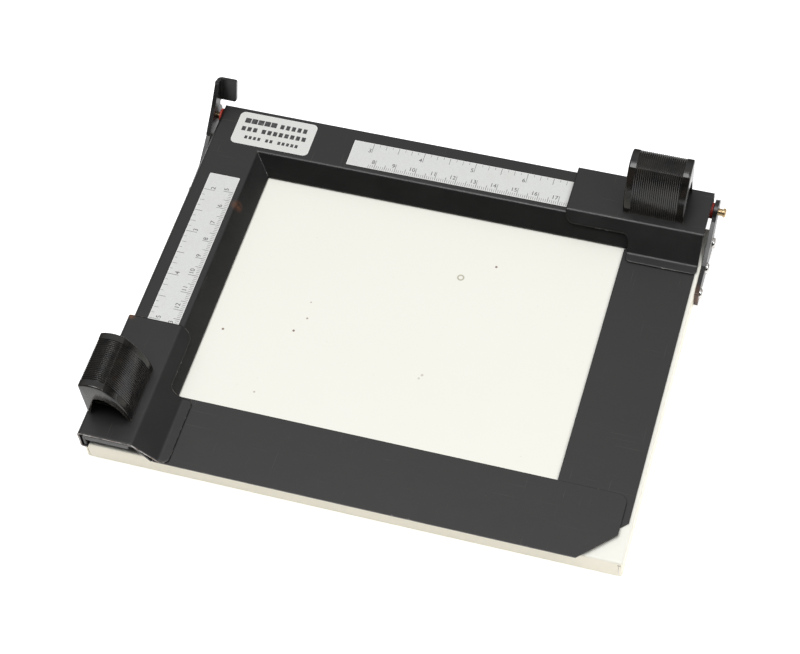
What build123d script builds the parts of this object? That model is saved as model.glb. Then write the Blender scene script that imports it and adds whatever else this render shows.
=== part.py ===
from build123d import *
import os
from math import cos, hypot, radians, sin

# Two-blade enlarging easel for prints up to 5 x 7 in, in millimetres.
# +X runs along the hinged rear rail, +Y points to the hinge, +Z is up.
# X = 0 and Y = 0 are the middle of the overall width and depth, Z = 0 is the table under the feet.

# Base: a folded sheet pan on four rubber feet
base_width = 246.0
base_depth = 182.4
base_height = 11.0
base_sheet = 0.8
base_corner = 1.2
base_fold = 1.1
seam_inset = 1.7
seam_width = 0.4
seam_top = 2.0
relief_radius = 0.8
foot_proud = 1.0
foot_inset = 15.0
foot_root_radius = 7.2
foot_taper = 6.0
foot_edge = 0.8

# L-shaped frame: a rear rail and a side rail of one bent section, mitred at the corner
rail_rise = 10.5
rail_sheet = 1.0
rail_flat = 24.6
rail_flank = 7.0
rail_skirt = 8.0
rail_fold = 1.5
rail_gap = 0.3
lip_depth = 3.4
lip_start = 1.2
lip_end = 21.7
ear_depth = 6.8
ear_end = 10.0
rail_left_margin = 2.25
rail_right_margin = 2.1

# Carriages that slide on the two rails
slide_sheet = 0.8
slide_length = 65.3
slide_top = 1.8
slide_side_gap = 0.95
slide_right_overhang = 0.8
slide_skirt = 9.3
slide_hook = 1.4
slide_flat = 23.9
slide_flank = 34.8
slide_foot = 39.4
slide_fold = 1.4
strip_length = 31.6
strip_drop = 2.8
strip_corner = 4.5
strip_sweep = 3.0
strip_margin = 0.2
foot_corner = 2.5
felt_thickness = 0.5
felt_length = 20.0
felt_width = 12.0
felt_corner = 1.5
felt_inset = 14.0

# Masking blades
blade_sheet = 0.8
blade_width = 34.7
blade_float = 0.2
blade_layer_gap = 0.3
blade_chamfer = 15.0
blade_round = 4.0
blade_tuck = 32.1
cross_blade_short = 7.3
front_blade_short = 3.1

# Grips
grip_length = 29.0
cross_grip_setback = 10.4
front_grip_setback = 11.1
grip_top = 25.0
grip_crest = 4.3
grip_heel_drop = 1.5
grip_heel_round = 1.2
grip_crease = 10.1
grip_crease_drop = 1.2
grip_belly = (16.7, 14.5)
grip_toe = 19.9
grip_hollow_heel = 0.6
grip_hollow_peak = (3.7, 13.6)
grip_hollow_belly = (12.8, 12.9)
grip_hollow_toe = 18.4
grip_web = 1.6
grip_web_length = 18.0
grip_rivet_radius = 1.5
grip_rivet_spacing = 10.0
grip_rivet_offset = 8.5
grip_rivet_head_radius = 2.5
grip_rivet_head_height = 0.9
grip_rivet_head_taper = 25.0

# Hinge
hinge_behind_blade = 190.4
hinge_back_margin = 5.1
hinge_drop = 3.6
hinge_radius = 1.7
hinge_hole_radius = 1.75
left_pin_reach = 3.6
right_pin_reach = 5.6
hinge_head_radius = 2.2
hinge_head_length = 1.3
hinge_head_round = 0.8
hinge_collar_radius = 2.1
hinge_collar_length = 0.6
washer_radius = 3.8
left_washer_thickness = 1.0
right_washer_thickness = 1.8
washer_edge = 0.3
open_angle = 112.0

# Brackets riveted to the base's side walls; the left one carries the stop tab
bracket_sheet = 2.0
bracket_length = 37.3
bracket_low = 1.5
bracket_strip = 9.0
bracket_edge = 1.0
bracket_ramp_start = 16.0
bracket_ramp_end = 8.0
bracket_neck = 2.0
bracket_lobe = 5.6
bracket_round = 0.8
rivet_count = 3
rivet_pitch = 14.8
rivet_first = 3.8
rivet_rise = 5.0
rivet_radius = 1.45
rivet_hole_radius = 1.5
rivet_head_radius = 2.8
rivet_head_height = 1.5
rivet_head_round = 1.4
rivet_tail_radius = 2.3
rivet_tail_height = 0.7
tab_start = 7.0
tab_end = 18.2
tab_width = 9.5
tab_clearance = 0.3
tab_fold = 2.2
tab_corner = 1.0
tab_fold_start = 4.0
tab_web_edge = 1.5
tab_web_depth = 9.0
tab_web_corner = 1.2

# Labels on the rails
label_width = 15.0
label_inset = 7.0
label_sheet = 0.2
label_corner = 0.4
rear_label_start = 68.65
rear_label_length = 124.0
side_label_start = 42.5
side_label_length = 110.0
plate_length = 39.2
plate_width = 19.4
plate_inset = 2.8
plate_start = 9.65
plate_sheet = 0.3
plate_round = 2.5

# Paper guides on the bed, hidden under the rails
guide_width = 4.0
guide_height = 1.0
guide_inset = 22.0
guide_start = 42.0
guide_corner = 1.0
guide_front_margin = 12.0
guide_right_margin = 14.0

# How far each front edge sits behind the front blade's front edge
slide_front_margin = 0.0
rail_front_margin = 0.4
base_front_margin = 2.5
cross_blade_overhang = 0.2

# Heights
pan_low = foot_proud
bed_z = pan_low + base_height
rail_z = bed_z + rail_rise

# The stop tab leans back so that the raised frame lies flat against it
lean = radians(open_angle - 90)
tab_offset = hinge_drop + tab_clearance
tab_back = (tab_offset + bracket_sheet) * cos(lean) + tab_end * sin(lean)

# Depth positions
overall_depth = hinge_behind_blade + tab_back
blade_front = -overall_depth / 2
hinge_y = blade_front + hinge_behind_blade
rail_back = hinge_y + hinge_back_margin
rail_front = blade_front + rail_front_margin
base_front = blade_front + base_front_margin
base_back = base_front + base_depth
slide_front = blade_front + slide_front_margin

# Width positions
base_left = left_pin_reach - (left_pin_reach + base_width + right_pin_reach) / 2
base_right = base_left + base_width
rail_left = base_left + rail_left_margin
rail_right = base_right - rail_right_margin
slide_right = rail_right + slide_right_overhang
blade_right = rail_right + cross_blade_overhang
hinge_z = rail_z - hinge_drop
rail_width = rail_flat + rail_flank

# The flank's sheared edge leans with the sheet, so its inner corner is this much lower than its outer one
rail_edge_drop = rail_sheet * rail_flank / hypot(rail_flank, rail_rise)

# Where the rivets of both brackets sit along the base's side walls
side_rivet_line = [base_back - rivet_first - step * rivet_pitch for step in range(rivet_count)]

# Levels of the crossing blades: the cross blade lies under the front blade
cross_blade_z = bed_z + blade_float
front_blade_z = cross_blade_z + blade_sheet + blade_layer_gap


def rear_plane(x):
    """Section plane of the rear rail: local x runs inward from its back face, local y up from its top."""
    return Plane(origin=(x, rail_back, rail_z), x_dir=(0, -1, 0), z_dir=(-1, 0, 0))


def side_plane(y):
    """Section plane of the side rail: local x runs inward from its left face, local y up from its top."""
    return Plane(origin=(rail_left, y, rail_z), x_dir=(1, 0, 0), z_dir=(0, -1, 0))


def bent_sheet(points, fold, thickness):
    """Closed outline of a bent sheet, given the points of its outer face."""
    with BuildLine() as outline:
        FilletPolyline(*points, radius=fold)
        offset(amount=thickness, side=Side.RIGHT)
    return outline.line


def rail_arm(plane, length):
    """One rail: hanging outer skirt, flat top and sloping inner flank."""
    points = [
        (0, -rail_skirt),
        (0, 0),
        (rail_flat, 0),
        (rail_width, rail_gap - rail_rise + rail_edge_drop),
    ]
    with BuildPart() as arm:
        with BuildSketch(plane):
            add(bent_sheet(points, rail_fold, rail_sheet))
            make_face()
        extrude(amount=length)
    return arm.part


def carriage_shell(plane, foot_z):
    """Bent sheet that wraps a rail, hooks under its skirt and ends in the foot that carries a blade."""
    side = -slide_side_gap - slide_sheet
    foot_level = foot_z + slide_sheet - rail_z
    points = [
        (slide_hook, -slide_skirt),
        (side, -slide_skirt),
        (side, slide_top),
        (slide_flat, slide_top),
        (slide_flank, foot_level),
        (slide_foot, foot_level),
    ]
    with BuildPart() as shell:
        with BuildSketch(plane):
            add(bent_sheet(points, slide_fold, slide_sheet))
            make_face()
        extrude(amount=slide_length)
    return shell.part


def strip_cutter(plane, reach):
    """Cuts the flank back to a short strip ahead of the blade.

    Local x runs back from the leading edge, local y is up, and reach is the depth along the plane's normal.
    """
    over = 5.0
    deep = 20.0
    with BuildPart() as cutter:
        with BuildSketch(plane):
            with BuildLine():
                Polyline(
                    (0, -strip_drop + strip_corner),
                    (-over, -strip_drop + strip_corner),
                    (-over, -deep),
                    (strip_length, -deep),
                    (strip_length, -strip_drop - strip_sweep),
                )
                RadiusArc(
                    (strip_length, -strip_drop - strip_sweep),
                    (strip_length - strip_sweep, -strip_drop),
                    -strip_sweep,
                )
                Line((strip_length - strip_sweep, -strip_drop), (strip_corner, -strip_drop))
                RadiusArc((strip_corner, -strip_drop), (0, -strip_drop + strip_corner), strip_corner)
            make_face()
        extrude(amount=reach)
    return cutter.part


def grip_body(plane):
    """Hollow thumb grip: upright outer wall, ridged crest with a crease, and a curved inner face."""
    outer = -slide_side_gap - slide_sheet
    toe = (grip_toe, slide_top)
    heel = (outer, grip_top - grip_heel_drop)
    crease = (grip_crease, grip_top - grip_crease_drop)
    floor = slide_top + grip_web
    hollow_toe = (grip_hollow_toe, floor)
    with BuildPart() as grip:
        with BuildSketch(plane) as outline:
            with BuildLine():
                Polyline(toe, (outer, slide_top), heel)
                ThreePointArc(heel, (grip_crest, grip_top), crease)
                ThreePointArc(crease, grip_belly, toe)
            make_face()
            with BuildLine(mode=Mode.PRIVATE) as hollow:
                Polyline(hollow_toe, (grip_hollow_heel, floor), grip_hollow_peak)
                ThreePointArc(grip_hollow_peak, grip_hollow_belly, hollow_toe)
            with BuildSketch(Plane.XY, mode=Mode.SUBTRACT):
                add(hollow.line)
                make_face()
            heel_corner = outline.vertices().group_by(Axis.Y)[-2].sort_by(Axis.X)[0]
            fillet(heel_corner, radius=grip_heel_round)
        extrude(amount=grip_length)
        # The floor is a shorter web in the middle, so each end is open down to the carriage
        end_cut = (grip_length - grip_web_length) / 2
        for start in (0, grip_length - end_cut):
            with BuildSketch(plane.offset(start)):
                with Locations(((grip_hollow_heel + grip_hollow_toe) / 2, slide_top + grip_web / 2)):
                    Rectangle(grip_hollow_toe - grip_hollow_heel, grip_web)
            extrude(amount=end_cut, mode=Mode.SUBTRACT)
    return grip.part


def rivet_spots(middle, along_y):
    """Two rivet centres under a grip, in the XY plane."""
    half = grip_rivet_spacing / 2
    if along_y:
        return [(middle[0], middle[1] - half), (middle[0], middle[1] + half)]
    return [(middle[0] - half, middle[1]), (middle[0] + half, middle[1])]


def grip_rivets(spots):
    """Rivets that hold a grip's floor to the carriage, flush underneath."""
    low = rail_z + slide_top - slide_sheet
    seat = rail_z + slide_top + grip_web
    with BuildPart() as rivets:
        with BuildSketch(Plane.XY.offset(low)):
            with Locations(*spots):
                Circle(grip_rivet_radius)
        extrude(amount=seat - low)
        with BuildSketch(Plane.XY.offset(seat)):
            with Locations(*spots):
                Circle(grip_rivet_head_radius)
        extrude(amount=grip_rivet_head_height, taper=grip_rivet_head_taper)
    return rivets.part


def bracket_plate(plane, with_tab):
    """Bracket plate beside the hinge; local x runs back from the hinge axis, local y up from it."""
    rear = base_back - hinge_y - bracket_edge
    front = base_back - hinge_y - bracket_length
    low = bracket_low - hinge_z
    top = low + bracket_strip
    with BuildPart() as plate:
        with BuildSketch(plane):
            with BuildLine():
                FilletPolyline(
                    (rear, low),
                    (front, low),
                    (front, top),
                    (front + bracket_ramp_start, top + bracket_edge),
                    (-bracket_ramp_end, bracket_neck),
                    (0.0, bracket_neck),
                    (bracket_lobe - bracket_edge, -bracket_neck),
                    (rear, top - bracket_edge),
                    radius=bracket_round,
                    close=True,
                )
            make_face()
            Circle(bracket_lobe)
            if with_tab:
                with BuildLine():
                    FilletPolyline(
                        tab_point(tab_offset - tab_web_edge, 0.0),
                        tab_point(tab_offset - tab_web_edge, tab_end),
                        tab_point(tab_offset - tab_fold_start, tab_end - tab_web_corner),
                        tab_point(tab_offset - tab_web_depth, tab_start),
                        (-bracket_ramp_end - bracket_lobe, 0.0),
                        (-bracket_lobe, -bracket_lobe),
                        radius=bracket_round,
                        close=True,
                    )
                make_face()
            Circle(hinge_hole_radius, mode=Mode.SUBTRACT)
            with Locations(*[(y - hinge_y, low + rivet_rise) for y in side_rivet_line]):
                Circle(rivet_hole_radius, mode=Mode.SUBTRACT)
        extrude(amount=bracket_sheet)
    return plate.part


def tab_point(away, along):
    """Point beside the hinge, given its distances behind the axis and up the leaning tab."""
    return (away * cos(lean) + along * sin(lean), along * cos(lean) - away * sin(lean))


def stop_tab():
    """Tab bent inward from the left bracket's plate, square to the face it stops."""
    start = tab_point(0, tab_start)
    bend_plane = Plane(
        origin=(base_left - bracket_sheet, hinge_y + start[0], hinge_z + start[1]),
        x_dir=(1, 0, 0),
        z_dir=(0, sin(lean), cos(lean)),
    )
    back_face = tab_offset + bracket_sheet
    points = [(0, tab_offset - tab_fold_start), (0, back_face), (tab_width, back_face)]
    with BuildPart() as tab:
        with BuildSketch(bend_plane):
            add(bent_sheet(points, tab_fold, bracket_sheet))
            make_face()
        extrude(amount=tab_end - tab_start)
        end_edges = tab.faces().sort_by(Axis.X)[-1].edges()
        free_corners = end_edges.filter_by(lambda edge: edge.length < 2 * bracket_sheet)
        fillet(free_corners, radius=tab_corner)
    return tab.part


def side_wall(side):
    """Outer face of the pan's side wall; side is -1 for left, 1 for right."""
    return base_right if side > 0 else base_left


def side_rivets(side):
    """Three dome-headed rivets through one bracket and the pan wall; side is -1 for left, 1 for right."""
    wall = side_wall(side) - side * base_sheet
    reach = base_sheet + bracket_sheet
    with BuildPart() as rivets:
        for y in side_rivet_line:
            centre = (wall, y, bracket_low + rivet_rise)
            axis_plane = Plane(origin=centre, x_dir=(0, 1, 0), z_dir=(side, 0, 0))
            with BuildSketch(axis_plane):
                Circle(rivet_radius)
            extrude(amount=reach)
            with BuildSketch(axis_plane.offset(-rivet_tail_height)):
                Circle(rivet_tail_radius)
            extrude(amount=rivet_tail_height)
            with BuildSketch(axis_plane.offset(reach)):
                Circle(rivet_head_radius)
            extrude(amount=rivet_head_height)
            rim = edges(Select.LAST).filter_by(GeomType.CIRCLE).sort_by(Axis.X)
            fillet(rim[-1] if side > 0 else rim[0], radius=rivet_head_round)
    return rivets.part


def hinge_plane(x, side):
    """Plane across the hinge axis at x, facing outward on the given side."""
    return Plane(origin=(x, hinge_y, hinge_z), x_dir=(0, 1, 0), z_dir=(side, 0, 0))


def hinge_pin(side, inner_face, reach):
    """Shouldered pin: closed inside the frame, running in the bracket, with a domed outer head."""
    end = side_wall(side) + side * reach
    with BuildPart() as pin:
        with BuildSketch(hinge_plane(inner_face, side)):
            Circle(hinge_radius)
        extrude(amount=abs(end - inner_face))
        with BuildSketch(hinge_plane(inner_face, side).offset(-hinge_collar_length)):
            Circle(hinge_collar_radius)
        extrude(amount=hinge_collar_length)
        with BuildSketch(hinge_plane(end, side).offset(-hinge_head_length)):
            Circle(hinge_head_radius)
        extrude(amount=hinge_head_length)
        rim = pin.edges().filter_by(GeomType.CIRCLE).group_by(Axis.X)[-1 if side > 0 else 0]
        fillet(rim, radius=hinge_head_round)
    return pin.part


def hinge_washer(side, frame_face, thickness):
    """Fibre washer on the pin, lying against the frame and clear of the bracket."""
    with BuildPart() as washer:
        with BuildSketch(hinge_plane(frame_face, side)):
            Circle(washer_radius)
            Circle(hinge_hole_radius, mode=Mode.SUBTRACT)
        extrude(amount=thickness)
        fillet(washer.edges().filter_by(GeomType.CIRCLE).group_by(SortBy.RADIUS)[-1], radius=washer_edge)
    return washer.part


def flat_label(corner, size, thickness, corner_radius):
    """Thin plate lying on a rail's top face, given its low corner and its size."""
    with BuildPart() as label:
        with BuildSketch(Plane.XY.offset(rail_z)):
            with Locations((corner[0] + size[0] / 2, corner[1] + size[1] / 2)):
                RectangleRounded(size[0], size[1], corner_radius)
        extrude(amount=thickness)
    return label.part


os.makedirs("parts", exist_ok=True)


def save(part, name):
    """Label one finished piece and write it as its own STEP file."""
    part.label = name
    export_step(part, f"parts/{name}.step")


# ---------------------------------------------------------------- base pan
with BuildPart() as base_pan:
    base_middle = ((base_left + base_right) / 2, (base_front + base_back) / 2)
    with BuildSketch(Plane.XY.offset(pan_low)):
        with Locations(base_middle):
            RectangleRounded(base_width, base_depth, base_corner)
    extrude(amount=base_height)
    fillet(base_pan.faces().sort_by(Axis.Z)[-1].edges(), radius=base_fold)
    with BuildSketch(Plane.XY.offset(pan_low)):
        with Locations(base_middle):
            Rectangle(base_width - 2 * base_sheet, base_depth - 2 * base_sheet)
    extrude(amount=base_height - base_sheet, mode=Mode.SUBTRACT)
    # Open corner seams where the end walls meet the side walls, with a round relief at the top of each
    seam_lines = (base_left + seam_inset, base_right - seam_inset)
    seam_depth = 3 * base_sheet
    for end_y in (base_front, base_back):
        with BuildSketch(Plane.XY.offset(pan_low)):
            with Locations(*[(x, end_y) for x in seam_lines]):
                Rectangle(seam_width, seam_depth)
        extrude(amount=base_height - seam_top, mode=Mode.SUBTRACT)
        with BuildSketch(Plane.XZ.offset(-end_y - seam_depth / 2)):
            with Locations(*[(x, bed_z - seam_top) for x in seam_lines]):
                Circle(relief_radius)
        extrude(amount=seam_depth, mode=Mode.SUBTRACT)
    with BuildSketch(Plane.YZ.offset(base_left)):
        with Locations(*[(y, bracket_low + rivet_rise) for y in side_rivet_line]):
            Circle(rivet_hole_radius)
    extrude(amount=base_width, mode=Mode.SUBTRACT)
save(base_pan.part, "base_pan")

# ---------------------------------------------------------------- rubber feet
foot_spots = {
    "foot_front_left": (base_left + foot_inset, base_front + foot_inset),
    "foot_front_right": (base_right - foot_inset, base_front + foot_inset),
    "foot_rear_left": (base_left + foot_inset, base_back - foot_inset),
    "foot_rear_right": (base_right - foot_inset, base_back - foot_inset),
}
for name, spot in foot_spots.items():
    with BuildPart() as foot:
        with BuildSketch(Plane.XY.offset(bed_z - base_sheet)):
            with Locations(spot):
                Circle(foot_root_radius)
        extrude(amount=-(bed_z - base_sheet), taper=foot_taper)
        fillet(foot.faces().sort_by(Axis.Z)[0].edges(), radius=foot_edge)
    save(foot.part, name)

# ---------------------------------------------------------------- paper guides
guide_line_x = rail_left + guide_inset
guide_line_y = rail_back - guide_inset
with BuildPart() as side_guide:
    with BuildSketch(Plane.XY.offset(bed_z)):
        guide_low = base_front + guide_front_margin
        guide_high = rail_back - guide_start
        with Locations((guide_line_x, (guide_low + guide_high) / 2)):
            RectangleRounded(guide_width, guide_high - guide_low, guide_corner)
    extrude(amount=guide_height)
save(side_guide.part, "paper_guide_side")

with BuildPart() as rear_guide:
    with BuildSketch(Plane.XY.offset(bed_z)):
        guide_near = rail_left + guide_start
        guide_far = base_right - guide_right_margin
        with Locations(((guide_near + guide_far) / 2, guide_line_y)):
            RectangleRounded(guide_far - guide_near, guide_width, guide_corner)
    extrude(amount=guide_height)
save(rear_guide.part, "paper_guide_rear")

# ---------------------------------------------------------------- L-shaped rail frame
outer_corner = (rail_left, rail_back, rail_z)
mitre = Plane(origin=outer_corner, x_dir=(0, 0, 1), z_dir=(1, 1, 0))

with BuildPart() as side_arm:
    add(rail_arm(side_plane(rail_back), rail_back - rail_front))
    split(bisect_by=mitre, keep=Keep.BOTTOM)

with BuildPart() as rear_arm:
    add(rail_arm(rear_plane(rail_right), rail_right - rail_left))
    split(bisect_by=mitre, keep=Keep.TOP)

with BuildPart() as rail_frame:
    add(side_arm.part)
    add(rear_arm.part)
    # Turned-down lip that closes the front end of the side rail
    lip_plane = side_plane(rail_front + rail_sheet)
    with BuildSketch(lip_plane):
        with Locations(((lip_start + lip_end) / 2, -lip_depth / 2)):
            Rectangle(lip_end - lip_start, lip_depth)
    extrude(amount=rail_sheet)
    # Ear and lip at the right end of the rear rail; the ear carries the right hinge pin
    with BuildSketch(rear_plane(rail_right)):
        with Locations(((lip_start + lip_end) / 2, -lip_depth / 2)):
            Rectangle(lip_end - lip_start, lip_depth)
        with Locations(((rail_sheet + ear_end) / 2, -ear_depth / 2)):
            Rectangle(ear_end - rail_sheet, ear_depth)
    extrude(amount=rail_sheet)
    with BuildSketch(Plane.YZ.offset(rail_left)):
        with Locations((hinge_y, hinge_z)):
            Circle(hinge_hole_radius)
    extrude(amount=rail_right - rail_left, mode=Mode.SUBTRACT)
save(rail_frame.part, "rail_frame")

# ---------------------------------------------------------------- scales and plate
rear_scale = flat_label(
    (rail_left + rear_label_start, rail_back - label_inset - label_width),
    (rear_label_length, label_width),
    label_sheet,
    label_corner,
)
save(rear_scale, "rear_scale")
side_scale = flat_label(
    (rail_left + label_inset, rail_back - side_label_start - side_label_length),
    (label_width, side_label_length),
    label_sheet,
    label_corner,
)
save(side_scale, "side_scale")
info_plate = flat_label(
    (rail_left + plate_start, rail_back - plate_inset - plate_width),
    (plate_length, plate_width),
    plate_sheet,
    plate_round,
)
save(info_plate, "info_plate")

# ---------------------------------------------------------------- hinge
left_plane = Plane(origin=(base_left - bracket_sheet, hinge_y, hinge_z), x_dir=(0, 1, 0), z_dir=(1, 0, 0))
right_plane = Plane(origin=(base_right, hinge_y, hinge_z), x_dir=(0, 1, 0), z_dir=(1, 0, 0))

with BuildPart() as left_bracket:
    add(bracket_plate(left_plane, with_tab=True))
    add(stop_tab())
save(left_bracket.part, "left_bracket")

with BuildPart() as right_bracket:
    add(bracket_plate(right_plane, with_tab=False))
save(right_bracket.part, "right_bracket")

save(side_rivets(-1), "left_bracket_rivets")
save(side_rivets(1), "right_bracket_rivets")
save(hinge_pin(-1, rail_left + rail_sheet, left_pin_reach), "left_hinge_pin")
save(hinge_pin(1, rail_right - rail_sheet, right_pin_reach), "right_hinge_pin")
save(hinge_washer(-1, rail_left, left_washer_thickness), "left_hinge_washer")
save(hinge_washer(1, rail_right, right_washer_thickness), "right_hinge_washer")

# ---------------------------------------------------------------- cross carriage, on the rear rail
cross_lead = slide_right - slide_length
cross_grip_x = slide_right - cross_grip_setback
cross_middle = (cross_grip_x - grip_length / 2, rail_back - grip_rivet_offset)
cross_spots = rivet_spots(cross_middle, along_y=False)
cut_origin = (cross_lead, rail_back - slide_flat - strip_margin, rail_z)
cut_plane = Plane(origin=cut_origin, x_dir=(1, 0, 0), z_dir=(0, -1, 0))

with BuildPart() as cross_carriage:
    add(carriage_shell(rear_plane(slide_right), cross_blade_z + blade_sheet))
    add(strip_cutter(cut_plane, slide_foot), mode=Mode.SUBTRACT)
    fillet(cross_carriage.edges().filter_by(Axis.Z).group_by(Axis.Y)[0], radius=foot_corner)
    with BuildSketch(Plane.XY.offset(rail_z)):
        with Locations(*cross_spots):
            Circle(grip_rivet_radius)
    extrude(amount=slide_top, mode=Mode.SUBTRACT)
save(cross_carriage.part, "cross_carriage")

with BuildPart() as cross_blade:
    with BuildSketch(Plane.XY.offset(cross_blade_z)):
        blade_back = rail_back - blade_tuck
        cross_front = blade_front + cross_blade_short
        with Locations((blade_right - blade_width / 2, (blade_back + cross_front) / 2)):
            Rectangle(blade_width, blade_back - cross_front)
        chamfer(vertices().group_by(Axis.Y)[0].sort_by(Axis.X)[-1], length=blade_chamfer)
    extrude(amount=blade_sheet)
save(cross_blade.part, "cross_blade")

with BuildPart() as cross_grip:
    add(grip_body(rear_plane(cross_grip_x)))
    with BuildSketch(Plane.XY.offset(rail_z + slide_top)):
        with Locations(*cross_spots):
            Circle(grip_rivet_radius)
    extrude(amount=grip_web, mode=Mode.SUBTRACT)
save(cross_grip.part, "cross_grip")
save(grip_rivets(cross_spots), "cross_grip_rivets")

felt_z = rail_z + slide_top - slide_sheet - felt_thickness
with BuildPart() as cross_felt:
    with BuildSketch(Plane.XY.offset(felt_z)):
        with Locations((cross_lead + felt_inset, rail_back - felt_inset)):
            RectangleRounded(felt_length, felt_width, felt_corner)
    extrude(amount=felt_thickness)
save(cross_felt.part, "cross_felt_pad")

# ---------------------------------------------------------------- front carriage, on the side rail
front_lead = slide_front + slide_length
front_grip_y = slide_front + front_grip_setback
front_middle = (rail_left + grip_rivet_offset, front_grip_y + grip_length / 2)
front_spots = rivet_spots(front_middle, along_y=True)
cut_origin = (rail_left + slide_flat + strip_margin, front_lead, rail_z)
cut_plane = Plane(origin=cut_origin, x_dir=(0, -1, 0), z_dir=(-1, 0, 0))

with BuildPart() as front_carriage:
    add(carriage_shell(side_plane(front_lead), front_blade_z + blade_sheet))
    add(strip_cutter(cut_plane, -slide_foot), mode=Mode.SUBTRACT)
    fillet(front_carriage.edges().filter_by(Axis.Z).group_by(Axis.X)[-1], radius=foot_corner)
    with BuildSketch(Plane.XY.offset(rail_z)):
        with Locations(*front_spots):
            Circle(grip_rivet_radius)
    extrude(amount=slide_top, mode=Mode.SUBTRACT)
save(front_carriage.part, "front_carriage")

with BuildPart() as front_blade:
    with BuildSketch(Plane.XY.offset(front_blade_z)):
        blade_left = rail_left + blade_tuck
        front_right = blade_right - front_blade_short
        with Locations(((blade_left + front_right) / 2, blade_front + blade_width / 2)):
            Rectangle(front_right - blade_left, blade_width)
        chamfer(vertices().group_by(Axis.Y)[0].sort_by(Axis.X)[-1], length=blade_chamfer)
        fillet(vertices().group_by(Axis.Y)[-1].sort_by(Axis.X)[-1], radius=blade_round)
    extrude(amount=blade_sheet)
save(front_blade.part, "front_blade")

with BuildPart() as front_grip:
    add(grip_body(side_plane(front_grip_y + grip_length)))
    with BuildSketch(Plane.XY.offset(rail_z + slide_top)):
        with Locations(*front_spots):
            Circle(grip_rivet_radius)
    extrude(amount=grip_web, mode=Mode.SUBTRACT)
save(front_grip.part, "front_grip")
save(grip_rivets(front_spots), "front_grip_rivets")

with BuildPart() as front_felt:
    with BuildSketch(Plane.XY.offset(felt_z)):
        with Locations((rail_left + felt_inset, front_lead - felt_inset)):
            RectangleRounded(felt_width, felt_length, felt_corner)
    extrude(amount=felt_thickness)
save(front_felt.part, "front_felt_pad")
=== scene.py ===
from math import atan2, cos, pi, radians, sin

import bmesh
import bpy
from mathutils import Matrix, Vector


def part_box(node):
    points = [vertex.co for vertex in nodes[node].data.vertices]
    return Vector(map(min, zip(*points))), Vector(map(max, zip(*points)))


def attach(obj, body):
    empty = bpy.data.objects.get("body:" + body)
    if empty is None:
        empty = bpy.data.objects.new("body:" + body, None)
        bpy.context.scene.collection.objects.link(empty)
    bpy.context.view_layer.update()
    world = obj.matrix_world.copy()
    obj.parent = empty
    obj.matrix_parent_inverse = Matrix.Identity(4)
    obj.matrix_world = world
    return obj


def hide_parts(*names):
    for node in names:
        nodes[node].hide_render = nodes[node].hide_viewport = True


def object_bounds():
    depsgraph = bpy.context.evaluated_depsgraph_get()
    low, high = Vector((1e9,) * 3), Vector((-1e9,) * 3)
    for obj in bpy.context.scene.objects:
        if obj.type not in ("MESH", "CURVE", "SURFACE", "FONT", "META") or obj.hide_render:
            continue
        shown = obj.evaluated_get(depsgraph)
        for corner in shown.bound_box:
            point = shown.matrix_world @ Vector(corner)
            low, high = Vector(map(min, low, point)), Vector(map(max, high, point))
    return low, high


# Two-blade enlarging easel: the looks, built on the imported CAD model. Lengths are in metres.
MM = 0.001
INCH = 25.4 * MM
RIGHT = Vector((1.0, 0.0, 0.0))
BACK = Vector((0.0, 1.0, 0.0))
UP = Vector((0.0, 0.0, 1.0))

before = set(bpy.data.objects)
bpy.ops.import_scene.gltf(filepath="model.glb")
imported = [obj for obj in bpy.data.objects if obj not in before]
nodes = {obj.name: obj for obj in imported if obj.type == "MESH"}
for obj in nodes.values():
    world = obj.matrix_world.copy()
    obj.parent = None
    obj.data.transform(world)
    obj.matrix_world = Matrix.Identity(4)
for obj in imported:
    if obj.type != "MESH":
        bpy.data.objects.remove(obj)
cad_low, cad_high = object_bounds()


# ---------------------------------------------------------------- shader building blocks
def shader_node(tree, kind, inputs, **settings):
    """Adds a shader node. Each input is a constant or another node's output socket."""
    made = tree.nodes.new("ShaderNode" + kind)
    for name, value in settings.items():
        setattr(made, name, value)
    for name, value in inputs.items():
        if isinstance(value, bpy.types.NodeSocket):
            tree.links.new(value, made.inputs[name])
        else:
            made.inputs[name].default_value = value
    return made


def compute(tree, operation, first, second=0.0):
    """One arithmetic step on two numbers."""
    return shader_node(tree, "Math", {0: first, 1: second}, operation=operation).outputs[0]


def multiply(tree, first, second):
    """Product of two numbers."""
    return compute(tree, "MULTIPLY", first, second)


def ramp(tree, value, start, end, low=0.0, high=1.0):
    """Maps value from start..end to low..high, and stops at both ends."""
    inputs = {"Value": value, "From Min": start, "From Max": end, "To Min": low, "To Max": high}
    return shader_node(tree, "MapRange", inputs).outputs[0]


def blend_colours(tree, amount, first, second):
    """Colour that goes from first to second as amount goes from 0 to 1."""
    mixer = shader_node(tree, "Mix", {}, data_type="RGBA")
    for index, value in ((0, amount), (6, first), (7, second)):
        if isinstance(value, bpy.types.NodeSocket):
            tree.links.new(value, mixer.inputs[index])
        elif index:
            mixer.inputs[index].default_value = (*value, 1.0)
        else:
            mixer.inputs[index].default_value = value
    return mixer.outputs[2]


def place(tree):
    """Position on the object, in metres, in the row frame at rest."""
    return tree.nodes.new("ShaderNodeTexCoord").outputs["Object"]


def facing(tree):
    """The surface's direction in the row frame at rest, as separate X, Y and Z."""
    normal = tree.nodes.new("ShaderNodeTexCoord").outputs["Normal"]
    return shader_node(tree, "SeparateXYZ", {0: normal}).outputs


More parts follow.
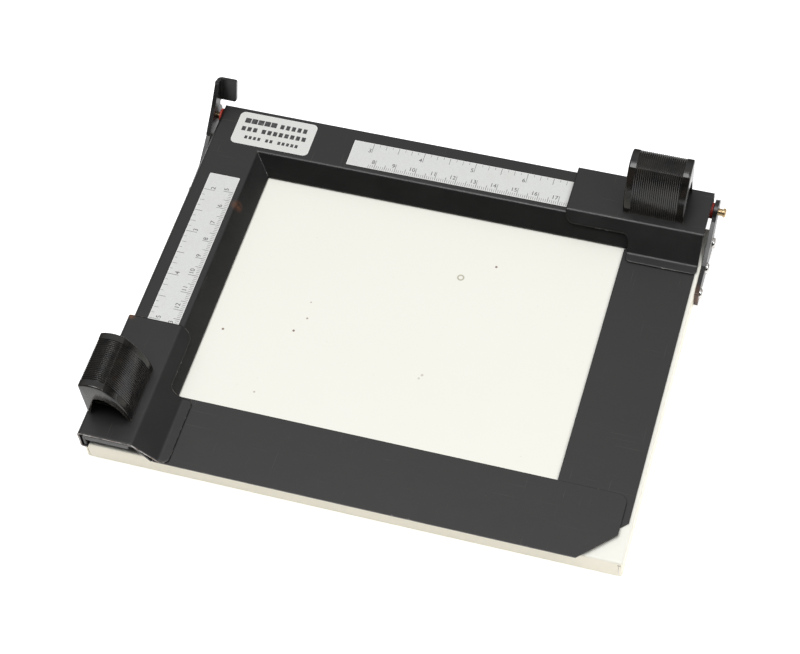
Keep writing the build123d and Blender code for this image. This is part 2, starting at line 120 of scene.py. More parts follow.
def noise(tree, size, detail=3.0, roughness=0.55, stretch=(1.0, 1.0, 1.0)):
    """Noise from 0 to 1 with features of about size metres, longer along an axis with a larger stretch."""
    scale = tuple(1.0 / (size * along) for along in stretch)
    spread = shader_node(tree, "Mapping", {"Vector": place(tree), "Scale": scale})
    inputs = {"Vector": spread.outputs[0], "Scale": 1.0, "Detail": detail, "Roughness": roughness}
    return shader_node(tree, "TexNoise", inputs).outputs[0]


def edge_mask(tree, radius):
    """1 on edges and corners within radius, 0 on open faces."""
    rounded = shader_node(tree, "Bevel", {"Radius": radius}, samples=6).outputs[0]
    normal = tree.nodes.new("ShaderNodeNewGeometry").outputs["Normal"]
    match = shader_node(tree, "VectorMath", {0: rounded, 1: normal}, operation="DOT_PRODUCT")
    return ramp(tree, match.outputs["Value"], 0.985, 0.90)


def spot(tree, centre, radius, softness=0.4):
    """1 inside a ball round centre, fading out over its softness."""
    away = shader_node(tree, "VectorMath", {0: place(tree), 1: centre}, operation="DISTANCE")
    return ramp(tree, away.outputs["Value"], radius, radius * (1.0 - softness))


def rounded_normal(tree, radius):
    """Normal of the surface with its edges and folds rounded by radius."""
    return shader_node(tree, "Bevel", {"Radius": radius}, samples=8).outputs[0]


def bumps(tree, layers, normal=None):
    """Normal from several (height socket, depth in metres) layers laid over each other."""
    for height, depth in layers:
        inputs = {"Height": height, "Distance": depth, "Strength": 1.0}
        if normal is not None:
            inputs["Normal"] = normal
        normal = shader_node(tree, "Bump", inputs).outputs[0]
    return normal


def material(name):
    """A new material, with its node tree and its main shader."""
    made = bpy.data.materials.new(name)
    made.use_nodes = True
    return made, made.node_tree, made.node_tree.nodes["Principled BSDF"]


def finish_shader(tree, shader, **inputs):
    """Sets the main shader's inputs; underscores stand for spaces and a tuple is a plain colour."""
    for key, value in inputs.items():
        socket = shader.inputs[key.replace("_", " ")]
        if isinstance(value, bpy.types.NodeSocket):
            tree.links.new(value, socket)
        elif isinstance(value, tuple):
            socket.default_value = (*value, 1.0)
        else:
            socket.default_value = value


# ---------------------------------------------------------------- materials
STEEL = (0.52, 0.51, 0.49)
RUST = (0.13, 0.050, 0.022)


def cream_enamel():
    """Cream stoved enamel on the pan, yellowed a little, with rust specks and chipped corners, and its
    upright sides painted a lighter, yellower cream as painted light from the bright floor.
    """
    made, tree, shader = material("cream_enamel")
    tone = noise(tree, 60 * MM, detail=4.0)
    colour = blend_colours(tree, tone, (0.800, 0.795, 0.735), (0.785, 0.778, 0.710))
    # Painted light: the upright sides get a lighter, yellower cream than the top, standing in for the light
    # the bright floor throws on them.
    side = ramp(tree, facing(tree)["Z"], 0.9, 0.2)
    colour = blend_colours(tree, side, colour, (0.85, 0.80, 0.66))
    low, high = (Vector(corner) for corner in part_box("base_pan"))
    # Small rust specks, as (mm from the left, mm from the front, radius in mm, strength)
    specks = (
        (41, 73, 0.7, 0.9),
        (77, 88, 0.6, 0.7),
        (73, 80, 0.7, 0.9),
        (76, 97, 0.5, 0.5),
        (66, 44, 0.6, 0.5),
        (154, 137, 0.7, 0.9),
        (137, 71, 0.8, 0.35),
        (136, 69, 0.7, 0.3),
    )
    for right, back, radius, strength in specks:
        centre = (low.x + right * MM, low.y + back * MM, high.z)
        speck = multiply(tree, spot(tree, centre, radius * MM), strength)
        colour = blend_colours(tree, speck, colour, RUST)
    # One blister that has left a small stained ring
    ring_centre = (low.x + 139.5 * MM, low.y + 127.2 * MM, high.z)
    outside = spot(tree, ring_centre, 1.9 * MM, 0.25)
    inside = spot(tree, ring_centre, 1.3 * MM, 0.4)
    ring = compute(tree, "SUBTRACT", outside, inside)
    colour = blend_colours(tree, multiply(tree, ring, 0.75), colour, (0.24, 0.22, 0.10))
    chips = multiply(tree, edge_mask(tree, 0.7 * MM), ramp(tree, noise(tree, 5 * MM, 5.0), 0.60, 0.68))
    colour = blend_colours(tree, chips, colour, (0.20, 0.13, 0.075))
    fine_specks = ramp(tree, noise(tree, 1.3 * MM, 2.0), 0.755, 0.79, 0.0, 0.35)
    colour = blend_colours(tree, fine_specks, colour, (0.40, 0.34, 0.22))
    relief = bumps(tree, [(noise(tree, 2.5 * MM, 2.0), 0.02 * MM), (noise(tree, 45 * MM), 0.25 * MM)])
    rough = ramp(tree, noise(tree, 12 * MM, 5.0), 0.3, 0.7, 0.30, 0.42)
    finish_shader(tree, shader, Base_Color=colour, Roughness=rough, Normal=relief)
    return made


def black_paint(
    name,
    tone=0.010,
    rough=(0.30, 0.40),
    wear=0.5,
    fold_radius=0.3 * MM,
    cut_faces=None,
    stains=(),
):
    """Satin black paint on steel.

    wear is how readily edges go bare, and fold_radius how softly edges and folds are rounded. cut_faces(tree)
    is 1 on sheared ends left bright, and stains are rust spots as (centre, radius).
    """
    made, tree, shader = material(name)
    haze = noise(tree, 30 * MM, 4.0)
    colour = blend_colours(tree, haze, (tone, tone, tone), (tone * 1.18, tone * 1.14, tone * 1.10))
    dust = ramp(tree, noise(tree, 0.8 * MM, 3.0), 0.70, 0.78, 0.0, 0.10)
    colour = blend_colours(tree, dust, colour, (0.30, 0.27, 0.23))
    scratch_a = ramp(tree, noise(tree, 0.35 * MM, 1.0, stretch=(90, 1, 1)), 0.74, 0.80)
    scratch_b = ramp(tree, noise(tree, 0.40 * MM, 1.0, stretch=(1, 70, 1)), 0.75, 0.81)
    scratches = multiply(tree, compute(tree, "MAXIMUM", scratch_a, scratch_b), 0.16)
    colour = blend_colours(tree, scratches, colour, (0.22, 0.20, 0.18))
    patchy = ramp(tree, noise(tree, 4 * MM, 5.0), 0.70 - 0.2 * wear, 0.80 - 0.2 * wear)
    bare = multiply(tree, edge_mask(tree, 0.35 * MM), patchy)
    if cut_faces:
        bright = ramp(tree, noise(tree, 3 * MM, 4.0), 0.36, 0.50)
        bare = compute(tree, "MAXIMUM", bare, multiply(tree, cut_faces(tree), bright))
    bare_tone = ramp(tree, noise(tree, 2.5 * MM, 3.0), 0.35, 0.65)
    colour = blend_colours(tree, bare, colour, blend_colours(tree, bare_tone, STEEL, (0.16, 0.10, 0.07)))
    for centre, radius in stains:
        ragged = multiply(tree, spot(tree, centre, radius, 0.8), ramp(tree, noise(tree, 1.2 * MM), 0.3, 0.6))
        colour = blend_colours(tree, ragged, colour, RUST)
    relief = bumps(
        tree,
        [
            (noise(tree, 0.9 * MM, 2.0), 0.012 * MM),
            (noise(tree, 22 * MM), 0.12 * MM),
            (multiply(tree, scratches, -1.0), 0.02 * MM),
        ],
        rounded_normal(tree, fold_radius),
    )
    dull = ramp(tree, noise(tree, 14 * MM, 5.0), 0.3, 0.7, rough[0], rough[1])
    finish_shader(
        tree,
        shader,
        Base_Color=colour,
        Roughness=dull,
        Metallic=multiply(tree, bare, 0.4),
        Normal=relief,
    )
    return made


def across(axis):
    """Face picker: 1 where the surface looks along the axis, either way."""

    def pick(tree):
        return ramp(tree, compute(tree, "ABSOLUTE", facing(tree)[axis]), 0.90, 0.97)

    return pick


def grip_plastic():
    """Glossy black moulded plastic, dusty here and there, with painted grey highlights on the rib crests and
    end rims.
    """
    made, tree, shader = material("grip_plastic")
    grime = ramp(tree, noise(tree, 6 * MM, 5.0), 0.40, 0.75, 0.0, 0.6)
    colour = blend_colours(tree, grime, (0.0060, 0.0060, 0.0060), (0.030, 0.024, 0.018))
    # Painted highlight: rib crests and end rims, found by pointiness, are painted lighter grey in varying
    # strength to stand in for the glints of light on the ribs.
    rib_highlight = ramp(tree, tree.nodes.new("ShaderNodeNewGeometry").outputs["Pointiness"], 0.53, 0.58)
    wear_and_sheen = multiply(tree, rib_highlight, ramp(tree, noise(tree, 7 * MM, 4.0), 0.25, 0.65, 0.35, 1.0))
    colour = blend_colours(tree, wear_and_sheen, colour, (0.080, 0.075, 0.067))
    rough = ramp(tree, noise(tree, 5 * MM, 5.0), 0.35, 0.7, 0.12, 0.28)
    relief = bumps(tree, [(noise(tree, 0.7 * MM, 2.0), 0.010 * MM)])
    finish_shader(tree, shader, Base_Color=colour, Roughness=rough, Normal=relief)
    return made


def label_metal(name, tone, speckle):
    """Silver-white lacquered aluminium label with a fine speckle."""
    made, tree, shader = material(name)
    grain = ramp(tree, noise(tree, 0.30 * MM, 2.0), 0.40, 0.60)
    darker = tuple(part * (1.0 - speckle) for part in tone)
    colour = blend_colours(tree, grain, tone, darker)
    grubby = ramp(tree, noise(tree, 9 * MM, 5.0), 0.55, 0.80, 0.0, 0.25)
    colour = blend_colours(tree, grubby, colour, (0.55, 0.51, 0.44))
    colour = blend_colours(tree, edge_mask(tree, 0.45 * MM), colour, (0.92, 0.92, 0.90))
    relief = bumps(tree, [(grain, 0.004 * MM), (noise(tree, 15 * MM), 0.05 * MM)])
    rough = ramp(tree, noise(tree, 3 * MM, 4.0), 0.3, 0.7, 0.42, 0.55)
    finish_shader(tree, shader, Base_Color=colour, Roughness=rough, Metallic=0.12, Normal=relief)
    return made


def ink():
    """Black printing ink, with a little wear."""
    made, tree, shader = material("ink")
    wear_and_sheen = ramp(tree, noise(tree, 1.5 * MM, 3.0), 0.50, 0.80, 0.0, 0.5)
    colour = blend_colours(tree, wear_and_sheen, (0.035, 0.035, 0.036), (0.26, 0.26, 0.26))
    finish_shader(
        tree,
        shader,
        Base_Color=colour,
        Roughness=ramp(tree, wear_and_sheen, 0.0, 0.5, 0.5, 0.65),
        Normal=bumps(tree, [(noise(tree, 0.2 * MM), 0.002 * MM)]),
    )
    return made


def plain_metal(name, colour, rough, tarnish, tarnish_size):
    """Bare or plated metal with tarnish in patches and fine turning marks."""
    made, tree, shader = material(name)
    patches = ramp(tree, noise(tree, tarnish_size, 5.0), 0.42, 0.70)
    tint = blend_colours(tree, patches, colour, tarnish)
    relief = bumps(tree, [(noise(tree, 0.25 * MM, 2.0), 0.006 * MM)])
    finish_shader(
        tree,
        shader,
        Base_Color=tint,
        Metallic=1.0,
        Roughness=ramp(tree, patches, 0.0, 1.0, rough, rough + 0.22),
        Normal=relief,
    )
    return made


def soft_surface(name, colour, other, size, rough, depth):
    """Matt material, such as rubber, fibre or felt: two tones in a grain of the given size."""
    made, tree, shader = material(name)
    grain = noise(tree, size, 5.0, 0.7)
    tint = blend_colours(tree, ramp(tree, grain, 0.35, 0.65), colour, other)
    finish_shader(
        tree,
        shader,
        Base_Color=tint,
        Roughness=ramp(tree, grain, 0.3, 0.7, rough - 0.08, rough),
        Normal=bumps(tree, [(grain, depth)]),
    )
    return made


rail_low, rail_high = (Vector(corner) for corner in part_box("rail_frame"))
rust_patch = (rail_low.x + 24.5 * MM, rail_high.y - 57.5 * MM, rail_high.z - 2.5 * MM)
carriage_high = Vector(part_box("front_carriage")[1])
carriage_corner = (rail_low.x + 0.2 * MM, carriage_high.y - 0.6 * MM, carriage_high.z)

bracket_ends = []
for bracket in ("left_bracket", "right_bracket"):
    bracket_low, bracket_high = (Vector(corner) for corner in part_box(bracket))
    bracket_ends.append(((bracket_high.x, bracket_low.y, bracket_low.z + 6 * MM), 7 * MM))

looks = {
    "base_pan": cream_enamel(),
    "rail_frame": black_paint(
        "rail_black",
        wear=0.6,
        fold_radius=0.8 * MM,
        stains=[(rust_patch, 3.9 * MM)],
    ),
    "cross_carriage": black_paint(
        "cross_carriage_black",
        tone=0.0090,
        wear=0.7,
        fold_radius=1.0 * MM,
        cut_faces=across("X"),
    ),
    "front_carriage": black_paint(
        "front_carriage_black",
        tone=0.0090,
        wear=0.8,
        fold_radius=1.0 * MM,
        cut_faces=across("Y"),
        stains=[(carriage_corner, 2.2 * MM)],
    ),
    "blades": black_paint("blade_black", tone=0.0112, rough=(0.42, 0.52), wear=0.45),
    "brackets": black_paint("bracket_black", tone=0.009, rough=(0.26, 0.36), wear=0.4, stains=bracket_ends),
    "grips": grip_plastic(),
    "scales": label_metal("scale_metal", (0.66, 0.67, 0.655), 0.10),
    "info_plate": label_metal("plate_metal", (0.71, 0.715, 0.69), 0.16),
    "ink": ink(),
    "brass": plain_metal("dull_brass", (0.62, 0.47, 0.27), 0.28, (0.30, 0.21, 0.12), 2.5 * MM),
    "chrome": plain_metal("rivet_chrome", (0.80, 0.80, 0.79), 0.12, (0.36, 0.33, 0.30), 1.5 * MM),
    "steel": plain_metal("rivet_steel", (0.50, 0.50, 0.49), 0.30, (0.24, 0.21, 0.18), 1.5 * MM),
    "fibre": soft_surface(
        "red_fibre",
        (0.42, 0.035, 0.020),
        (0.26, 0.022, 0.014),
        size=0.6 * MM,
        rough=0.62,
        depth=0.03 * MM,
    ),
    "rubber": soft_surface(
        "foot_rubber",
        (0.022, 0.022, 0.022),
        (0.040, 0.038, 0.036),
        size=0.8 * MM,
        rough=0.85,
        depth=0.05 * MM,
    ),
    "felt": soft_surface(
        "black_felt",
        (0.020, 0.020, 0.021),
        (0.050, 0.048, 0.045),
        size=0.35 * MM,
        rough=0.98,
        depth=0.15 * MM,
    ),
    "guides": soft_surface(
        "guide_enamel",
        (0.80, 0.78, 0.70),
        (0.74, 0.71, 0.61),
        size=4 * MM,
        rough=0.45,
        depth=0.02 * MM,
    ),
}
node_looks = {
    "base_pan": "base_pan",
    "rail_frame": "rail_frame",
    "cross_carriage": "cross_carriage",
    "front_carriage": "front_carriage",
    "cross_blade": "blades",
    "front_blade": "blades",
    "left_bracket": "brackets",
    "right_bracket": "brackets",
    "left_bracket_rivets": "chrome",
    "right_bracket_rivets": "chrome",
    "left_hinge_pin": "brass",
    "right_hinge_pin": "brass",
    "left_hinge_washer": "fibre",
    "right_hinge_washer": "fibre",
    "rear_scale": "scales",
    "side_scale": "scales",
    "info_plate": "info_plate",
    "foot_front_left": "rubber",
    "foot_front_right": "rubber",
    "foot_rear_left": "rubber",
    "foot_rear_right": "rubber",
    "paper_guide_side": "guides",
    "paper_guide_rear": "guides",
    "cross_grip_rivets": "steel",
    "front_grip_rivets": "steel",
    "cross_felt_pad": "felt",
    "front_felt_pad": "felt",
}
for node_name, look in node_looks.items():
    slots = nodes[node_name].data.materials
    slots.clear()
    slots.append(looks[look])


def add_piece(name, mesh_data, body, look):
    """Puts a finished bmesh into the scene as one piece that rides on a body."""
    mesh = bpy.data.meshes.new(name)
    mesh_data.to_mesh(mesh)
    mesh_data.free()
    mesh.materials.append(looks[look])
    piece = bpy.data.objects.new(name, mesh)
    bpy.context.scene.collection.objects.link(piece)
    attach(piece, body)
    return piece


# ---------------------------------------------------------------- ribbed grips
RIB_PITCH = 0.95 * MM
RIB_DEPTH = 0.34 * MM
SMOOTH_BAND = 3.5 * MM
END_ROUND = 0.8 * MM
STEPS_PER_RIB = 6
WEB_HALF = 9.0 * MM

# Section of a grip, in millimetres
GRIP_OUTSIDE = -1.75
GRIP_FOOT = 1.8
GRIP_TOE = 19.9
HOLLOW_TOE = 18.4
WEB_START = 0.2
WEB_END = 18.8
WEB_TOP = 3.4


def arc_points(start, through, end, count):
    """Points along the arc from start to end that passes through a third point, without the last one."""
    ax, ay = start
    bx, by = through
    cx, cy = end
    twice = 2 * (ax * (by - cy) + bx * (cy - ay) + cx * (ay - by))
    a2, b2, c2 = (x * x + y * y for x, y in (start, through, end))
    middle_x = (a2 * (by - cy) + b2 * (cy - ay) + c2 * (ay - by)) / twice
    middle_y = (a2 * (cx - bx) + b2 * (ax - cx) + c2 * (bx - ax)) / twice
    middle = Vector((middle_x, middle_y))
    first = Vector(start) - middle
    turn = first.angle_signed(Vector(end) - middle)
    return [tuple(middle + Matrix.Rotation(-turn * step / count, 2) @ first) for step in range(count)]


def line_points(start, end, count):
    """Evenly spaced points from start towards end, without the last one."""
    return [tuple(Vector(start).lerp(Vector(end), step / count)) for step in range(count)]


def grip_section():
    """Outer and inner outlines of a grip's section, in millimetres: x inward from the rail's face, y up.

    The outer outline runs from the foot of the outer wall over the crest to the toe. The inner one follows it
    round the hollow, with as many points.
    """
    outer = (
        line_points((-0.8, GRIP_FOOT), (-1.5, 22.7), 10)
        + arc_points((-1.5, 22.7), (-1.3, 23.4), (-0.75, 23.8), 4)
        + arc_points((-0.75, 23.8), (4.5, 24.95), (9.7, 23.9), 12)
        + arc_points((9.7, 23.9), (10.15, 23.65), (10.5, 23.3), 3)
        + arc_points((10.5, 23.3), (16.7, 14.45), (GRIP_TOE, GRIP_FOOT), 24)
        + [(GRIP_TOE, GRIP_FOOT)]
    )
    inner = (
        line_points((0.6, GRIP_FOOT), (3.7, 13.6), 14)
        + arc_points((3.7, 13.6), (5.0, 14.9), (6.9, 15.5), 6)
        + arc_points((6.9, 15.5), (9.5, 15.0), (11.4, 13.9), 9)
        + arc_points((11.4, 13.9), (16.1, 8.6), (HOLLOW_TOE, GRIP_FOOT), 24)
        + [(HOLLOW_TOE, GRIP_FOOT)]
    )
    return outer, inner


def inward_normals(points):
    """Unit normals to the right of an outline, which is inside it when it runs over a hump to the right."""
    normals = []
    for index in range(len(points)):
        before = Vector(points[max(index - 1, 0)])
        after = Vector(points[min(index + 1, len(points) - 1)])
        along = (after - before).normalized()
        normals.append(Vector((along.y, -along.x)))
    return normals


def grip_stations(length):
    """(distance along the grip, inset of the outer skin) pairs, from one end to the other."""
    turns = [step * pi / 8 for step in range(4)]
    rounding = [(END_ROUND * (1 - cos(turn)), END_ROUND * (1 - sin(turn))) for turn in turns]
    count = round((length - 2 * SMOOTH_BAND) / RIB_PITCH)
    step = (length - 2 * SMOOTH_BAND) / (count * STEPS_PER_RIB)
    ribs = []
    for index in range(count * STEPS_PER_RIB + 1):
        wave = 0.5 - 0.5 * cos(2 * pi * index / STEPS_PER_RIB)
        ribs.append((SMOOTH_BAND + index * step, RIB_DEPTH * wave**0.7))
    band = [(END_ROUND * share, 0.0) for share in (1.0, 1.6, 2.4, 3.4)]
    near = rounding + band
    far = [(length - along, inset) for along, inset in reversed(near)]
    return near + ribs + far


def grip_rings(mesh, length, to_frame):
    """(outside, inside) rings of vertices at every station along a grip."""
    outer, inner = grip_section()
    normals = inward_normals(outer)
    rings = []
    for along, inset in grip_stations(length):
        skin = [Vector(point) + normal * inset / MM for point, normal in zip(outer, normals)]
        outside = [mesh.verts.new(to_frame((point.x, max(point.y, GRIP_FOOT)), along)) for point in skin]
        inside = [mesh.verts.new(to_frame(point, along)) for point in inner]
        rings.append((outside, inside))
    return rings


def join_rings(mesh, rings):
    """Outer skin, hollow and both foot edges between neighbouring rings."""
    for (outside, inside), (next_outside, next_inside) in zip(rings, rings[1:]):
        for index in range(len(outside) - 1):
            after = index + 1
            mesh.faces.new((outside[index], outside[after], next_outside[after], next_outside[index]))
        for index in range(len(inside) - 1):
            after = index + 1
            mesh.faces.new((inside[after], inside[index], next_inside[index], next_inside[after]))
        mesh.faces.new((inside[0], outside[0], next_outside[0], next_inside[0]))
        mesh.faces.new((outside[-1], inside[-1], next_inside[-1], next_outside[-1]))


def close_ends(mesh, rings):
    """End faces between the outer skin and the hollow."""
    for (outside, inside), flip in ((rings[0], False), (rings[-1], True)):
        for index in range(len(inside) - 1):
            corners = [inside[index], inside[index + 1], outside[index + 1], outside[index]]
            mesh.faces.new(reversed(corners) if flip else corners)


def add_web(mesh, length, to_frame):
    """The web that the rivets go through, across the middle of the hollow."""
    profile = [(WEB_START, GRIP_FOOT), (WEB_START, WEB_TOP), (WEB_END, WEB_TOP), (WEB_END, GRIP_FOOT)]
    ends = []
    for along in (length / 2 - WEB_HALF, length / 2 + WEB_HALF):
        ends.append([mesh.verts.new(to_frame(point, along)) for point in profile])
    for index in range(4):
        after = (index + 1) % 4
        mesh.faces.new((ends[0][index], ends[0][after], ends[1][after], ends[1][index]))
    mesh.faces.new(reversed(ends[0]))
    mesh.faces.new(ends[1])


def build_grip(name, node, body, along_x):
    """Hollow ribbed grip that stands for one CAD grip."""
    low, high = (Vector(corner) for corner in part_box(node))
    length = (high.x - low.x) if along_x else (high.y - low.y)

    def to_frame(section_point, along):
        inward = (section_point[0] - GRIP_OUTSIDE) * MM
        height = low.z + (section_point[1] - GRIP_FOOT) * MM
        if along_x:
            return Vector((low.x + along, high.y - inward, height))
        return Vector((low.x + inward, low.y + along, height))

    mesh = bmesh.new()
    rings = grip_rings(mesh, length, to_frame)
    join_rings(mesh, rings)
    close_ends(mesh, rings)
    add_web(mesh, length, to_frame)
    bmesh.ops.recalc_face_normals(mesh, faces=mesh.faces)
    for face in mesh.faces:
        face.smooth = True
    piece = add_piece(name, mesh, body, "grips")
    piece.data.set_sharp_from_angle(angle=radians(38))
    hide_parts(node)


build_grip("cross_ribbed_grip", "cross_grip", "cross_slide", along_x=True)
build_grip("front_ribbed_grip", "front_grip", "front_slide", along_x=False)


# ---------------------------------------------------------------- printed scales
PRINT_THICKNESS = 0.02 * MM
THIN_LINE = 0.15 * MM
THICK_LINE = 0.20 * MM
EDGE_GAP = 0.25 * MM
DIGIT_HEIGHT = 2.3 * MM
DIGIT_GAP = 0.5 * MM
# Height of a digit as a share of the font's size
DIGIT_SHARE = 0.72
# How far the scales' zeros lie inside the rail frame's left and rear sides
REAR_ZERO_INSET = 2.35 * MM
SIDE_ZERO_INSET = 1.6 * MM

# lengths are (every how many ticks, tick length), longest first, and margin is left free at the label's end
INCHES = {
    "pitch": INCH / 8,
    "margin": 1 * MM,
    "lengths": ((8, 5.6 * MM), (4, 3.8 * MM), (2, 2.7 * MM), (1, 1.6 * MM)),
    "thick_every": 4,
    "number_every": 8,
}
CENTIMETRES = {
    "pitch": 1 * MM,
    "margin": 2 * MM,
    "lengths": ((10, 5.3 * MM), (5, 3.4 * MM), (1, 2.1 * MM)),
    "thick_every": 5,
    "number_every": 10,
}


def add_bar(mesh, corner, opposite):
    """Thin printed bar between two opposite corners."""
    size = [abs(side) for side in opposite - corner]
    place_bar = Matrix.Translation((corner + opposite) / 2) @ Matrix.Diagonal((*size, 1.0))
    bmesh.ops.create_cube(mesh, size=1.0, matrix=place_bar)


def add_number(mesh, number, anchor, reads_along, ends_there):
    """Printed number that reads along a direction. Its baseline starts at the anchor, or ends there."""
    curve = bpy.data.curves.new("number", "FONT")
    curve.body = str(number)
    curve.size = DIGIT_HEIGHT / DIGIT_SHARE
    curve.extrude = PRINT_THICKNESS / 2
    curve.resolution_u = 4
    holder = bpy.data.objects.new("number", curve)
    bpy.context.scene.collection.objects.link(holder)
    bpy.context.view_layer.update()
    text_mesh = bpy.data.meshes.new_from_object(holder)
    width = max(vertex.co.x for vertex in text_mesh.vertices)
    start = anchor - reads_along * width if ends_there else anchor
    turn = atan2(reads_along.y, reads_along.x)
    text_mesh.transform(Matrix.Translation(start) @ Matrix.Rotation(turn, 4, "Z"))
    mesh.from_mesh(text_mesh)
    bpy.data.meshes.remove(text_mesh)
    bpy.data.objects.remove(holder)
    bpy.data.curves.remove(curve)


def graduations(first, reach, ruling):
    """(reading, tick length, tick number) for every tick from first to the end of the label."""
    ticks = []
    index = round(first / ruling["pitch"])
    while index * ruling["pitch"] <= reach - ruling["margin"]:
        for every, length in ruling["lengths"]:
            if index % every == 0:
                ticks.append((index * ruling["pitch"], length, index))
                break
        index += 1
    return ticks


def print_row(mesh, zero, along, inward, reads_along, ticks, ruling):
    """One row of ticks with a number before each numbered tick, level with the tick's inner end.

    zero is the row's zero on the label's edge. along points to larger readings, inward to the middle of the
    label, and reads_along is the way its numbers read.
    """
    digits_point_inward = UP.cross(reads_along).dot(inward) > 0
    for reading, length, index in ticks:
        half = (THICK_LINE if index % ruling["thick_every"] == 0 else THIN_LINE) / 2
        near = zero + along * (reading - half) + inward * EDGE_GAP
        far = zero + along * (reading + half) + inward * length + UP * PRINT_THICKNESS
        add_bar(mesh, near, far)
        if index % ruling["number_every"] == 0:
            baseline = length - DIGIT_HEIGHT if digits_point_inward else length
            anchor = zero + along * (reading - DIGIT_GAP) + inward * baseline + UP * PRINT_THICKNESS / 2
            number = index // ruling["number_every"]
            add_number(mesh, number, anchor, reads_along, ends_there=along.dot(reads_along) > 0)


def rear_scale_print():
    """Inches along the rear edge and centimetres along the front edge of the rear rail's label."""
    low, high = (Vector(corner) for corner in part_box("rear_scale"))
    zero = rail_low.x + REAR_ZERO_INSET
    inch_ticks = graduations(3 * INCH, high.x - zero, INCHES)
    centimetre_ticks = graduations(77 * MM, high.x - zero, CENTIMETRES)
    mesh = bmesh.new()
    print_row(mesh, Vector((zero, high.y, high.z)), RIGHT, -BACK, RIGHT, inch_ticks, INCHES)
    print_row(mesh, Vector((zero, low.y, high.z)), RIGHT, BACK, RIGHT, centimetre_ticks, CENTIMETRES)
    add_piece("rear_scale_print", mesh, "frame", "ink")


def side_scale_print():
    """Inches along the outer edge and centimetres along the inner edge of the side rail's label."""
    low, high = (Vector(corner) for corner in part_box("side_scale"))
    zero = rail_high.y - SIDE_ZERO_INSET
    inch_ticks = graduations(2 * INCH, zero - low.y, INCHES)
    centimetre_ticks = graduations(50 * MM, zero - low.y, CENTIMETRES)
    mesh = bmesh.new()
    print_row(mesh, Vector((low.x, zero, high.z)), -BACK, RIGHT, BACK, inch_ticks, INCHES)
    print_row(mesh, Vector((high.x, zero, high.z)), -BACK, -RIGHT, BACK, centimetre_ticks, CENTIMETRES)
    add_piece("side_scale_print", mesh, "frame", "ink")


def badge_print():
    """Generic print on the badge: three rows of plain blocks."""
    low, high = (Vector(corner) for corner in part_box("info_plate"))
    mesh = bmesh.new()

    def blocks(left, bottom, count, width, height, pitch):
        for index in range(count):
            corner = Vector((low.x + (left + index * pitch) * MM, low.y + bottom * MM, high.z))
            size = Vector((width * MM, height * MM, PRINT_THICKNESS))
            add_bar(mesh, corner, corner + size)

    # Blocks from the rear row to the front one, in millimetres from the badge's front left corner
    blocks(3.4, 13.0, 5, 2.9, 3.0, 3.3)
    blocks(21.4, 13.0, 5, 1.9, 2.7, 2.9)
    blocks(3.2, 8.1, 3, 2.0, 2.6, 2.9)
    blocks(13.4, 8.1, 8, 2.0, 2.6, 2.9)
    blocks(6.2, 3.5, 4, 1.4, 1.9, 2.2)
    blocks(16.8, 3.5, 2, 1.4, 1.9, 2.2)
    blocks(23.0, 3.5, 5, 1.4, 1.9, 2.2)
    add_piece("badge_print", mesh, "frame", "ink")


rear_scale_print()
side_scale_print()
badge_print()


# ---------------------------------------------------------------- floor, light and camera
def add_floor():
    """Plain pale studio floor under the feet, with a glow of its own that keeps it near white."""
    mesh = bmesh.new()
    bmesh.ops.create_grid(mesh, x_segments=1, y_segments=1, size=4.0)
    data = bpy.data.meshes.new("studio_floor")
    mesh.to_mesh(data)
    mesh.free()
    made, tree, shader = material("studio_white")
    paper = noise(tree, 0.2)
    tint = blend_colours(tree, paper, (0.86, 0.86, 0.86), (0.85, 0.85, 0.85))
    finish_shader(tree, shader, Base_Color=tint, Roughness=0.8, Emission_Color=tint, Emission_Strength=0.65)
    data.materials.append(made)
    floor = bpy.data.objects.new("studio_floor", data)
    floor.location.z = cad_low[2]
    bpy.context.scene.collection.objects.link(floor)


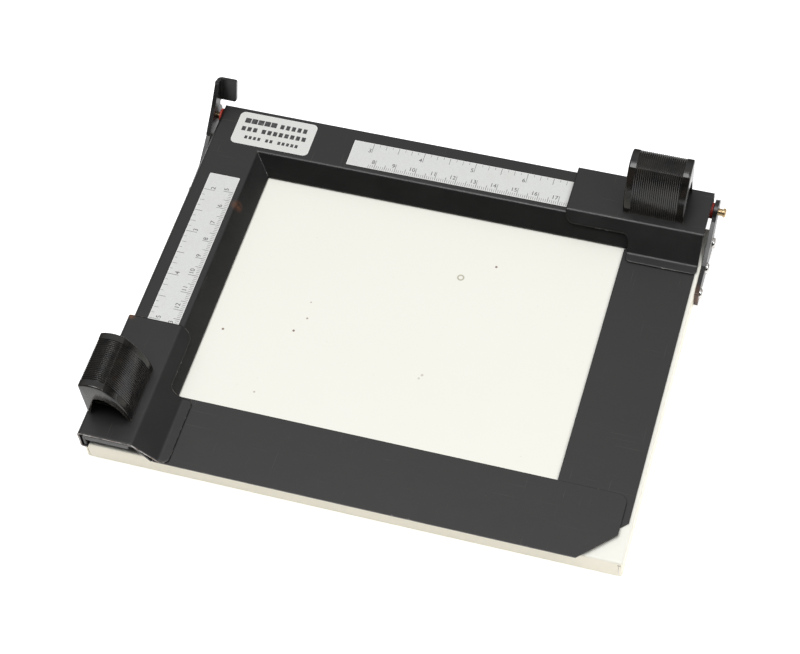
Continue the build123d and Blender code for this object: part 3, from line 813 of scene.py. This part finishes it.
def add_softbox(name, location, size, power):
    """Square white area light that looks at the middle of the easel's underside."""
    light = bpy.data.lights.new(name, "AREA")
    light.shape = "SQUARE"
    light.size = size
    light.energy = power
    holder = bpy.data.objects.new(name, light)
    holder.location = location
    holder.rotation_euler = (-Vector(location)).to_track_quat("-Z", "Y").to_euler()
    bpy.context.scene.collection.objects.link(holder)


def add_world():
    """Studio room: bright above and behind the easel, dark in front of it and towards the horizon."""
    world = bpy.data.worlds.new("studio")
    world.use_nodes = True
    tree = world.node_tree
    direction = tree.nodes.new("ShaderNodeTexCoord").outputs["Generated"]
    axes = shader_node(tree, "SeparateXYZ", {0: direction}).outputs
    height = ramp(tree, axes["Z"], 0.15, 0.75)
    rear = ramp(tree, axes["Y"], -0.6, 0.35, 0.0, 0.80)
    strength = compute(tree, "ADD", multiply(tree, height, rear), 0.02)
    tree.links.new(strength, tree.nodes["Background"].inputs["Strength"])
    tree.nodes["Background"].inputs["Color"].default_value = (1.0, 1.0, 1.0, 1.0)
    bpy.context.scene.world = world


CAMERA_PLACE = Vector((0.19715, -0.51238, 0.81204))
CAMERA_TURN = radians(19.722)
CAMERA_RISE = radians(55.804)
CAMERA_ROLL = radians(-4.719)
CAMERA_LENS = 95.155
CAMERA_SHIFT = -0.05


def add_camera():
    """Camera above the front right of the easel, a little rolled, with a long lens."""
    right = Vector((cos(CAMERA_TURN), sin(CAMERA_TURN), 0.0))
    level = Vector((sin(CAMERA_TURN), -cos(CAMERA_TURN), 0.0))
    back = level * cos(CAMERA_RISE) + UP * sin(CAMERA_RISE)
    up = back.cross(right)
    look = Matrix((right, up, back)).transposed().to_4x4()
    data = bpy.data.cameras.new("camera")
    data.lens = CAMERA_LENS
    data.sensor_width = 36.0
    data.shift_x = CAMERA_SHIFT
    camera = bpy.data.objects.new("camera", data)
    camera.matrix_world = Matrix.Translation(CAMERA_PLACE) @ look @ Matrix.Rotation(CAMERA_ROLL, 4, "Z")
    bpy.context.scene.collection.objects.link(camera)
    bpy.context.scene.camera = camera


add_floor()
add_world()
add_softbox("key_light", (-0.22, -0.22, 1.60), size=0.9, power=16.0)
add_softbox("fill_light", (1.0, -0.30, 1.10), size=0.8, power=8.0)
add_camera()
bpy.context.scene.view_settings.view_transform = "Standard"
